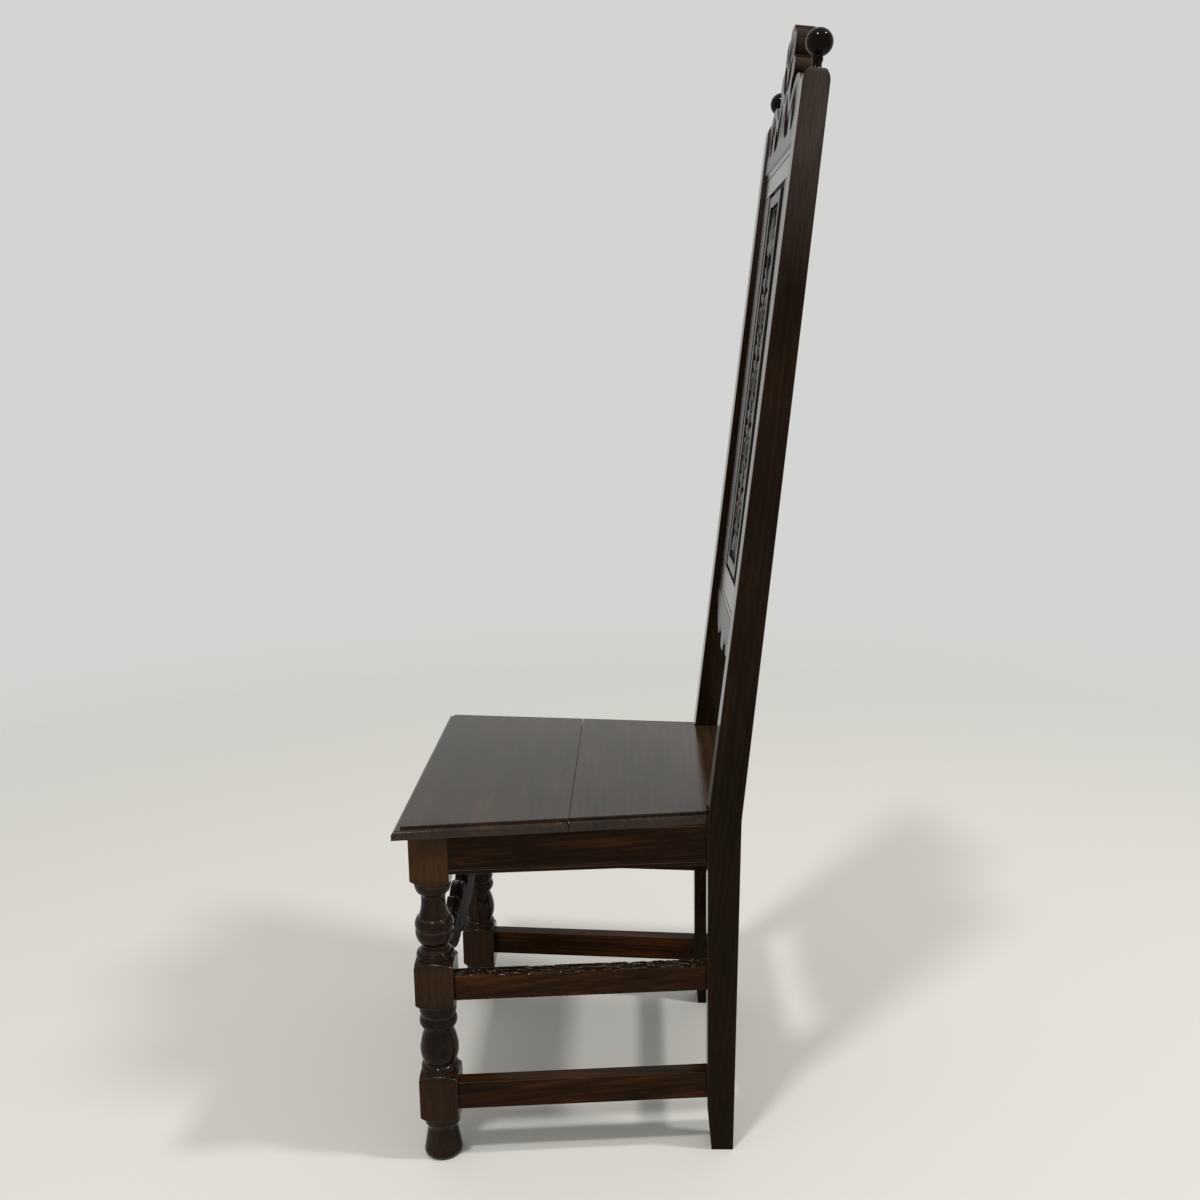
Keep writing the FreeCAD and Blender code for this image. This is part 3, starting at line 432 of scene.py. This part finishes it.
# %% Leaves
def on_leaf(x, y, base, tip, width):
    """Places along and across a leaf, and the leaf's half-width there."""
    length = math.hypot(tip[0] - base[0], tip[1] - base[1])
    along = ((x - base[0]) * (tip[0] - base[0]) + (y - base[1]) * (tip[1] - base[1])) / length**2
    across = ((y - base[1]) * (tip[0] - base[0]) - (x - base[0]) * (tip[1] - base[1])) / length
    return along, across, width * np.sin(math.pi * np.clip(along, 0, 1) ** 0.75) + 1e-6


def sunk_leaf(x, y, base, tip, width, wall=1.6):
    """A leaf let into the board, from 0 at its outline to 1 on its flat ground."""
    _, across, half = on_leaf(x, y, base, tip, width)
    return np.clip((half - np.abs(across)) / wall, 0, 1)


def leaf(x, y, base, tip, width, tall):
    """A pointed leaf with a grooved rib."""
    along, across, half = on_leaf(x, y, base, tip, width)
    inside = np.clip(along, 0, 1)
    swell = np.sqrt(np.clip(1 - (across / half) ** 2, 0, 1)) * (0.55 + 0.45 * np.sin(math.pi * inside))
    rib = 0.4 * np.exp(-((across / (0.16 * width + 0.5)) ** 2)) * inside * (1 - inside) * 4
    return np.where((along > 0) & (along < 1), tall * np.clip(swell - rib * (swell > 0), 0, 1), 0)


on_rib, beside_rib = leaf(np.array([20, 20]), np.array([0, 3]), (0, 0), (40, 0), 8, 1)
print("a leaf is", round(on_rib, 2), "tall on its rib and", round(beside_rib, 2), "beside it")

# %% Flowers, leafy scrolls and the ground round them
LEAVES_AT = (0.06, 0.18, 0.30, 0.42, 0.54)


def flower(x, y, centre, radius, petals, tall):
    """A round flower with a boss."""
    far = np.hypot(x - centre[0], y - centre[1])
    petal = np.abs(np.cos(petals * np.arctan2(y - centre[1], x - centre[0]) / 2))
    edge = radius * (0.84 + 0.16 * petal)
    cup = np.sqrt(np.clip(far / edge, 0, 1)) * (far < edge) * (0.72 + 0.28 * petal)
    boss = np.sqrt(np.clip(1 - (far / (0.3 * radius)) ** 2, 0, 1))
    return tall * np.maximum(cup * 0.9, boss)


def leafy_scroll(x, y, centre, radius, start, turns, hand, tall):
    """A scroll with leaves along its outer side and a bud in its eye."""
    path = spiral(centre, radius, start, turns, hand)
    height = ridge(x, y, path, radius * 0.23, tall)
    for share in LEAVES_AT:
        i = int(share * (len(path) - 1))
        going = path[i + 1] - path[i]
        going = going / np.hypot(*going)
        outward = hand * np.array([going[1], -going[0]])
        tip = path[i] + radius * (0.62 - 0.5 * share) * (0.75 * going + 0.66 * outward)
        height = np.maximum(height, leaf(x, y, path[i], tip, radius * (0.25 - 0.12 * share), tall * 0.9))
    eye = path[-1]
    bud = np.sqrt(np.clip(1 - ((x - eye[0]) ** 2 + (y - eye[1]) ** 2) / (radius * 0.17) ** 2, 0, 1))
    return np.maximum(height, bud * tall)


def punched(x, y, pitch=3.6, deep=0.35):
    """A ground matted with a punch, as carvers do to make it look dark."""
    row = np.round(y / pitch)
    dot = np.hypot((x / pitch + 0.5 * (row % 2) + 0.5) % 1 - 0.5, y / pitch - row)
    return -deep * np.clip(1 - (dot / 0.42) ** 2, 0, 1)


print("a punch sinks the ground by", -punched(np.zeros(1), np.zeros(1))[0], "mm")

# %% [markdown]
# ## From a height to a board
# The carver starts from the finished board and takes wood away. So does this: the board's mesh is
# turned upright, remeshed finely enough for the strokes, and every point that stands in front of the
# carved surface is pushed back to it. Then the board goes back to its lean. Where nobody looks, the
# wood keeps the saw's and the gouge's marks under a thin dark stain, so it has a finish of its own.
# The deep cuts take the same black finish, which there is also painted shade.

# %% Copy a board finely
OTHER_FACING = 0.6
bare_and_shaded_backs = {
    along: oak(f"sawn_stained_and_shade_painted_oak_{WAYS[along]}", along, **BARE_AND_SHADE) for along in (ACROSS, RAKED)
}
print("made", ", ".join(wood.name for wood in bare_and_shaded_backs.values()))


def fine_copy(name, ending, lean, cell_mm):
    """A copy of a board, stood upright and finely meshed, and the places of its points in mm."""
    mesh = nodes[name].data.copy()
    mesh.transform(Matrix.Rotation(lean, 4, "X") @ nodes[name].matrix_world)
    block = bpy.data.objects.new(f"{name}_{ending}", mesh)
    bpy.context.scene.collection.objects.link(block)
    weld = block.modifiers.new("weld", "WELD")
    weld.merge_threshold = WELD_MM * MM
    remesh = block.modifiers.new("remesh", "REMESH")
    remesh.voxel_size = cell_mm * MM
    fine = block.evaluated_get(bpy.context.evaluated_depsgraph_get())
    block.data = bpy.data.meshes.new_from_object(fine)
    block.modifiers.clear()
    places = np.empty(len(block.data.vertices) * 3)
    block.data.vertices.foreach_get("co", places)
    return block, places.reshape(-1, 3) / MM


def settle(block, name, other_wood, axis, sunk=None):
    """Give a board its wood and its place.

    Faces that look along an axis (1 is back, 2 is up) and those at sunk points get the other wood.
    """
    mesh = block.data
    mesh.materials.clear()
    mesh.materials.append(finish_of(name)[0])
    mesh.materials.append(other_wood)
    mesh.update()
    normals = np.empty(len(mesh.polygons) * 3)
    mesh.polygons.foreach_get("normal", normals)
    other = normals[axis::3] > OTHER_FACING
    if sunk is not None:
        other |= [sunk[list(face.vertices)].any() for face in mesh.polygons]
    mesh.polygons.foreach_set("material_index", other.astype(int))
    mesh.polygons.foreach_set("use_smooth", [True] * len(mesh.polygons))
    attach(block, "root")
    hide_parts(name)
    print(block.name, "has", len(mesh.polygons), "faces")


# %% Carve a board
SUNK_MM = 2.7
SOFTEN = 0.35
CORE = 0.3


def rim_distance(places):
    """Distance of each point from the board's outline or from a piercing, seen from the front."""
    low, high = places[:, 1].min(), places[:, 1].max()
    walls = places[np.abs(places[:, 1] - (low + high) / 2) < CORE * (high - low)]
    outline = KDTree(len(walls))
    for i, (x, _, z) in enumerate(walls):
        outline.insert((x, 0, z), i)
    outline.balance()
    return np.array([outline.find((x, 0, z))[2] for x, _, z in places])


def carve(name, lean, cell_mm, surface, behind=None):
    """Cut a board's front: surface(x, y, tall, rim) is how far in the cut lies, in mm.

    The height y counts from the bottom of the board, and rim is the distance to its outline. Where
    behind(x, y, rim) is given, it says how much is shaved off the back.
    """
    block, places = fine_copy(name, "carved", lean, cell_mm)
    x, y, z = places.T
    low, high = places.min(axis=0), places.max(axis=0)
    rim = rim_distance(places)
    if behind:
        y = low[1] + (y - low[1]) * (1 - behind(x, z - low[2], rim) / (high[1] - low[1]))
    cut = surface(x, z - low[2], high[2] - low[2], rim)
    sunk = (y < low[1] + cut) & (cut > SUNK_MM)
    y = np.maximum(y, low[1] + cut)
    block.data.vertices.foreach_set("co", (np.column_stack([x, y, z]) * MM).ravel())
    block.data.transform(Matrix.Rotation(-lean, 4, "X"))
    soften = block.modifiers.new("soften", "SMOOTH")
    soften.factor = SOFTEN
    soften.iterations = 1
    # Backs and deep cuts take the black bare oak; in the cuts, and on the stretcher's back under the seat,
    # its black is painted shade
    settle(block, name, bare_and_shaded_backs[ACROSS], 1, sunk)


# The dark of the bare oak in these cuts is partly painted shade
print("cuts deeper than", SUNK_MM, "mm keep the dark bare oak")

# %% [markdown]
# ## The cresting
# The board on top of the back is pierced with leaves. Its face is flat and polished, and round some
# piercings the carver sank a larger leaf with upright walls, so that they read as dark strokes even
# from the side; their grounds take the black bare oak, which there is also painted shade. Under the
# cap a few hollow leaves, cut with one turn of a round gouge, spread as a fan.
# A plain band is left along the bottom, where the board meets the rail.

# %% Carve the cresting: each leaf has a base, a tip and a half-width, in mm
CREST_CELL_MM = 0.8
CREST_BAND_MM = 20
CREST_DEEP_MM = 4.2
FAN_DEEP_MM = 2.2
sunk_leaves = [
    ((109, 17), (117, 70), 14),
    ((58, 16), (69, 49), 12),
    ((50, 20), (19, 74), 13),
    ((8, 80), (40, 116), 12),
    ((147, 18), (141, 62), 9),
]
fan_leaves = [((8, 104), (13, 140), 4.5), ((22, 116), (33, 138), 4.5)]
middle_leaves = [((0, 66), (0, 92), 6), ((0, 106), (0, 148), 4)]


def cresting_surface(x, y, tall, rim):
    side = np.abs(x)
    sunk = np.max([sunk_leaf(side, y, *shape) for shape in sunk_leaves], axis=0)
    fan = [leaf(side, y, *shape, 1) for shape in fan_leaves]
    fan += [leaf(x, y, *shape, 1) for shape in middle_leaves]
    depth = np.maximum(CREST_DEEP_MM * sunk, FAN_DEEP_MM * np.max(fan, axis=0))
    return np.where(y < CREST_BAND_MM, 0, depth)


carve("cresting", RAKE, CREST_CELL_MM, cresting_surface)

# %% [markdown]
# ## The front stretcher
# The stretcher between the front legs was made to be looked at, so its front is carved too: a flower
# in the middle and a leafy scroll each way. Its back was only rounded off and left as the gouge made
# it, in rows of shallow scoops, and it takes the black bare oak, which also paints in the shade under
# the seat. The ends that meet the legs stay plain. The strokes are the same as for any other board, so
# only their places are new.

# %% Carve the front stretcher
STRETCHER_CELL_MM = 1.1
STRETCHER_DEEP_MM = 3
STRETCHER_RIM_MM = 4
STRETCHER_ROUND_MM = 8
PLAIN_FROM_MM = 158
SCOOP_MM = {"wide": 13, "tall": 19, "deep": 1.2}
SCOOP_SHIFT = 0.37
LEVEL = 0.47
FLOWER = 0.33
BARELY = 0.02


def stretcher_surface(x, y, tall, rim):
    side = np.abs(x)
    level = LEVEL * tall
    strokes = [
        flower(x, y, (0, level), FLOWER * tall, 8, 1),
        leafy_scroll(side, y, (52, level), 17, 170, 1.25, 1, 1),
        leafy_scroll(side, y, (98, level), 14, 185, 1.25, -1, 1),
        leaf(side, y, (112, level), (150, level), 8, 1),
        np.clip(STRETCHER_RIM_MM + 1 - rim, 0, 1),
        (side > PLAIN_FROM_MM) * 1.0,
    ]
    height = np.max(strokes, axis=0)
    ground = punched(x, y) / STRETCHER_DEEP_MM
    return STRETCHER_DEEP_MM * (1 - np.where(height > BARELY, height, ground))


def stretcher_back(x, y, rim):
    inward = np.clip(1 - rim / STRETCHER_ROUND_MM, 0, 1)
    rounded = STRETCHER_ROUND_MM * (1 - np.sqrt(1 - inward**2))
    row = np.floor(y / SCOOP_MM["tall"])
    across = (x / SCOOP_MM["wide"] + SCOOP_SHIFT * row) % 1 - 0.5
    along = y / SCOOP_MM["tall"] - row - 0.5
    scoop = SCOOP_MM["deep"] * np.clip(1 - 2.6 * (across**2 + along**2), 0, 1)
    return np.where(np.abs(x) > PLAIN_FROM_MM, 0, np.minimum(rounded + scoop, STRETCHER_ROUND_MM))


carve("front_stretcher", 0, STRETCHER_CELL_MM, stretcher_surface, stretcher_back)

# %% [markdown]
# ## The panel
# The tall panel is one wide board, carved in low relief with a stem that grows leafy scrolls to both
# sides. It is thin, so the board is drawn afresh as a fine sheet for the front, which the relief
# lifts and sinks, closed round its edge with a plain back.

# %% Draw the panel's ornament
PANEL_CELL_MM = 0.9
PANEL_FIELD_MM = (45, 220)
PANEL_GROUND_MM = 2.2
PANEL_RELIEF_MM = 2.6


def panel_relief(x, y):
    """The ornament's height, from 0 on the ground to 1; y counts from the middle of the panel."""
    side = np.abs(x)
    strokes = [ridge(x, y, [(0, -205), (0, 165)], 5, 0.85)]
    for level in (-160, -78, 4, 86):
        strokes.append(leafy_scroll(side, y, (22, level), 20, 265, 1.35, -1, 1))
        strokes.append(leaf(side, y, (2, level + 19), (43, level + 29), 7, 0.9))
        strokes.append(leaf(side, y, (8, level + 41), (44, level + 46), 8, 0.9))
        strokes.append(leaf(side, y, (5, level + 50), (40, level + 63), 5, 0.8))
        strokes.append(flower(x, y, (0, level + 41), 12, 8, 1))
    for angle in range(-78, 79, 26):
        turn = math.radians(angle)
        tip = (43 * math.sin(turn), 166 + 50 * math.cos(turn))
        strokes.append(leaf(x, y, (0, 166), tip, 10, 1))
    strokes.append(leaf(side, y, (2, -188), (43, -214), 10, 0.95))
    return np.max(strokes, axis=0)


def panel_lift(x, y):
    """How far the carved front stands out, in mm, and whether a place is on the sunk ground."""
    inside = (np.abs(x) < PANEL_FIELD_MM[0]) & (np.abs(y) < PANEL_FIELD_MM[1])
    relief = np.where(inside, panel_relief(x, y), 0)
    ground = inside & (relief < BARELY)
    shaped = PANEL_GROUND_MM + np.where(ground, punched(x, y), PANEL_RELIEF_MM * relief)
    return np.where(inside, shaped, 0), ground


print("the panel's relief is up to", round(PANEL_GROUND_MM + PANEL_RELIEF_MM, 1), "mm tall")


# %% Carve the panel
def carve_panel():
    upright = Matrix.Rotation(RAKE, 4, "X")
    source = nodes["back_panel"]
    stand = upright @ source.matrix_world
    corners = np.array([stand @ vertex.co for vertex in source.data.vertices]) / MM
    low, high = corners.min(axis=0), corners.max(axis=0)
    columns, rows = (int((high[axis] - low[axis]) / PANEL_CELL_MM) for axis in (0, 2))
    x, z = np.meshgrid(np.linspace(low[0], high[0], columns), np.linspace(low[2], high[2], rows))
    x, z = x.ravel(), z.ravel()
    lift, ground = panel_lift(x, z - (low[2] + high[2]) / 2)
    front = np.column_stack([x, low[1] - lift, z])
    number = np.arange(columns * rows).reshape(rows, columns)
    quads = np.stack([number[:-1, :-1], number[:-1, 1:], number[1:, 1:], number[1:, :-1]], axis=-1)
    rim = np.concatenate([number[0, :-1], number[:-1, -1], number[-1, :0:-1], number[:0:-1, 0]])
    back = front[rim]
    back[:, 1] = high[1]
    behind = columns * rows + np.arange(len(rim))
    sides = np.column_stack([rim, behind, np.roll(behind, -1), np.roll(rim, -1)])
    faces = quads.reshape(-1, 4).tolist() + sides.tolist() + [behind[::-1].tolist()]
    mesh = bpy.data.meshes.new("back_panel_carved")
    mesh.from_pydata((np.vstack([front, back]) * MM).tolist(), [], faces)
    mesh.transform(upright.inverted())
    board = bpy.data.objects.new("back_panel_carved", mesh)
    bpy.context.scene.collection.objects.link(board)
    # The sunk ground takes the black bare oak: dirt in the hollows, and painted shade between the relief
    sunk = np.append(ground, np.zeros(len(rim), bool))
    settle(board, "back_panel", bare_and_shaded_backs[RAKED], 1, sunk)
    board.modifiers.new("shade", "WEIGHTED_NORMAL")


carve_panel()

# %% [markdown]
# ## Worn stretchers
# Heels rest on the upper side stretchers, so their tops are scuffed and chipped along the edges. A
# bump in the material could draw the chips, but real ones break the outline. So the two are meshed
# finely, and small chips are broken out of the top with smooth noise. The broken wood is dark with
# dirt and old polish, and its many small faces catch the light.

# %% Wear the upper stretchers
WORN_CELL_MM = 0.9
CHIP_MM = {"long": 11, "wide": 5, "deep": 1.7, "reach": 5}
SPLINTER_MM = {"long": 3.1, "wide": 1.9}
CHIPS, SPLINTERS, ALL_OVER = 1.5, 0.35, 0.12
scuffed = oak("scuffed_oak_backwards", BACKWARDS, **SCUFFED)


def rough_at(place, size):
    x, y, z = place
    return noise.noise((x / size["wide"], y / size["long"], z / size["wide"]))


def wear_top(name):
    block, places = fine_copy(name, "worn", 0, WORN_CELL_MM)
    top = places[:, 2].max()
    near_top = np.clip((places[:, 2] - top + CHIP_MM["reach"]) / CHIP_MM["reach"], 0, 1)
    for i in np.flatnonzero(near_top):
        chip, splinter = rough_at(places[i], CHIP_MM), rough_at(places[i], SPLINTER_MM)
        wear = CHIPS * chip + SPLINTERS * splinter + ALL_OVER
        places[i, 2] -= CHIP_MM["deep"] * near_top[i] * min(1, max(0, wear))
    block.data.vertices.foreach_set("co", (places * MM).ravel())
    settle(block, name, scuffed, 2)


for name in ("upper_stretcher_left", "upper_stretcher_right"):
    wear_top(name)

# %% [markdown]
# ## Floor, background and light
# A plain pale floor fades into a pale background, which polished faces mirror when they are seen
# edge-on. Two lamps hang high up, one towards the viewer and one behind. Nothing else is needed: the
# chair's own shape and colours should show, and not a place.

# %% Floor
FLOOR_M = 9
FADE_M = (1, 3.2)
floor_mesh = bpy.data.meshes.new("floor")
corners = [(x * FLOOR_M, y * FLOOR_M, 0) for x, y in ((-1, -1), (1, -1), (1, 1), (-1, 1))]
floor_mesh.from_pydata(corners, [], [(0, 1, 2, 3)])
floor = bpy.data.objects.new("floor", floor_mesh)
bpy.context.scene.collection.objects.link(floor)
# Floor paint, rolled on: an even pale grey that hardly shines
paint, paint_tree, paint_shader = new_material("rolled_floor_paint")
paint_shader.inputs["Base Color"].default_value = linear("c9c6c0")
paint_shader.inputs["Roughness"].default_value = 0.75
floor_place = add(paint_tree, "ShaderNodeTexCoord").outputs["Object"]
away = add(paint_tree, "ShaderNodeVectorMath", {"operation": "LENGTH"}, in0=floor_place).outputs["Value"]
softly = {"interpolation_type": "SMOOTHSTEP"}
ends = {"From_Min": FADE_M[0], "From_Max": FADE_M[1]}
fade = add(paint_tree, "ShaderNodeMapRange", softly, Value=away, **ends).outputs[0]
clear = add(paint_tree, "ShaderNodeBsdfTransparent").outputs[0]
ending = add(paint_tree, "ShaderNodeMixShader", in0=fade, in1=paint_shader.outputs[0], in2=clear)
paint_tree.links.new(ending.outputs[0], paint_tree.nodes["Material Output"].inputs["Surface"])
floor_mesh.materials.append(paint)
print("floor of", 2 * FLOOR_M, "m, clear beyond", FADE_M[1], "m from the chair")

# %% Background and lamps
LAMP_M = 0.4
LAMP_WATTS = 85
LAMP_AIM = Vector((0, 0, 0.5))
world = bpy.data.worlds.new("studio")
bpy.context.scene.world = world
world.use_nodes = True
world.node_tree.nodes["Background"].inputs["Color"].default_value = linear("d4d5d2")


def lamp(name, place):
    light = bpy.data.lights.new(name, "AREA")
    light.shape = "DISK"
    light.size = LAMP_M
    light.energy = LAMP_WATTS
    holder = bpy.data.objects.new(name, light)
    holder.location = place
    holder.rotation_euler = (LAMP_AIM - Vector(place)).to_track_quat("-Z", "Y").to_euler()
    bpy.context.scene.collection.objects.link(holder)
    print(name, "hangs", place[2], "m up")


lamp("ceiling_front", (1.72, -0.72, 4.3))
lamp("ceiling_rear", (0.53, 2.31, 4.1))

# %% [markdown]
# ## Camera
# The camera stands at the chair's left side, above the seat's height, and looks slightly down. Its
# place, turn and lens were worked out from straight edges of the chair, so that lengths compare well.

# %% Camera
CAMERA_MM = (1630.5, 37.9, 986.9)
PITCH, YAW, ROLL = (math.radians(angle) for angle in (11.3, -1.8, -0.9))
LENS_MM = 38.35
SENSOR_MM = 36
ahead = Vector((-math.cos(YAW) * math.cos(PITCH), math.sin(YAW) * math.cos(PITCH), -math.sin(PITCH)))
right = Vector((math.sin(YAW), math.cos(YAW), 0))
upward = right.cross(ahead)
roll_right = right * math.cos(ROLL) + upward * math.sin(ROLL)
roll_up = upward * math.cos(ROLL) - right * math.sin(ROLL)
camera_data = bpy.data.cameras.new("camera")
camera_data.lens = LENS_MM
camera_data.sensor_width = SENSOR_MM
camera = bpy.data.objects.new("camera", camera_data)
turned = Matrix((roll_right, roll_up, -ahead)).transposed().to_4x4()
camera.matrix_world = Matrix.Translation(Vector(CAMERA_MM) * MM) @ turned
bpy.context.scene.collection.objects.link(camera)
bpy.context.scene.camera = camera
bpy.context.scene.view_settings.view_transform = "Standard"
print("camera at", CAMERA_MM, "mm with a lens of", LENS_MM, "mm")
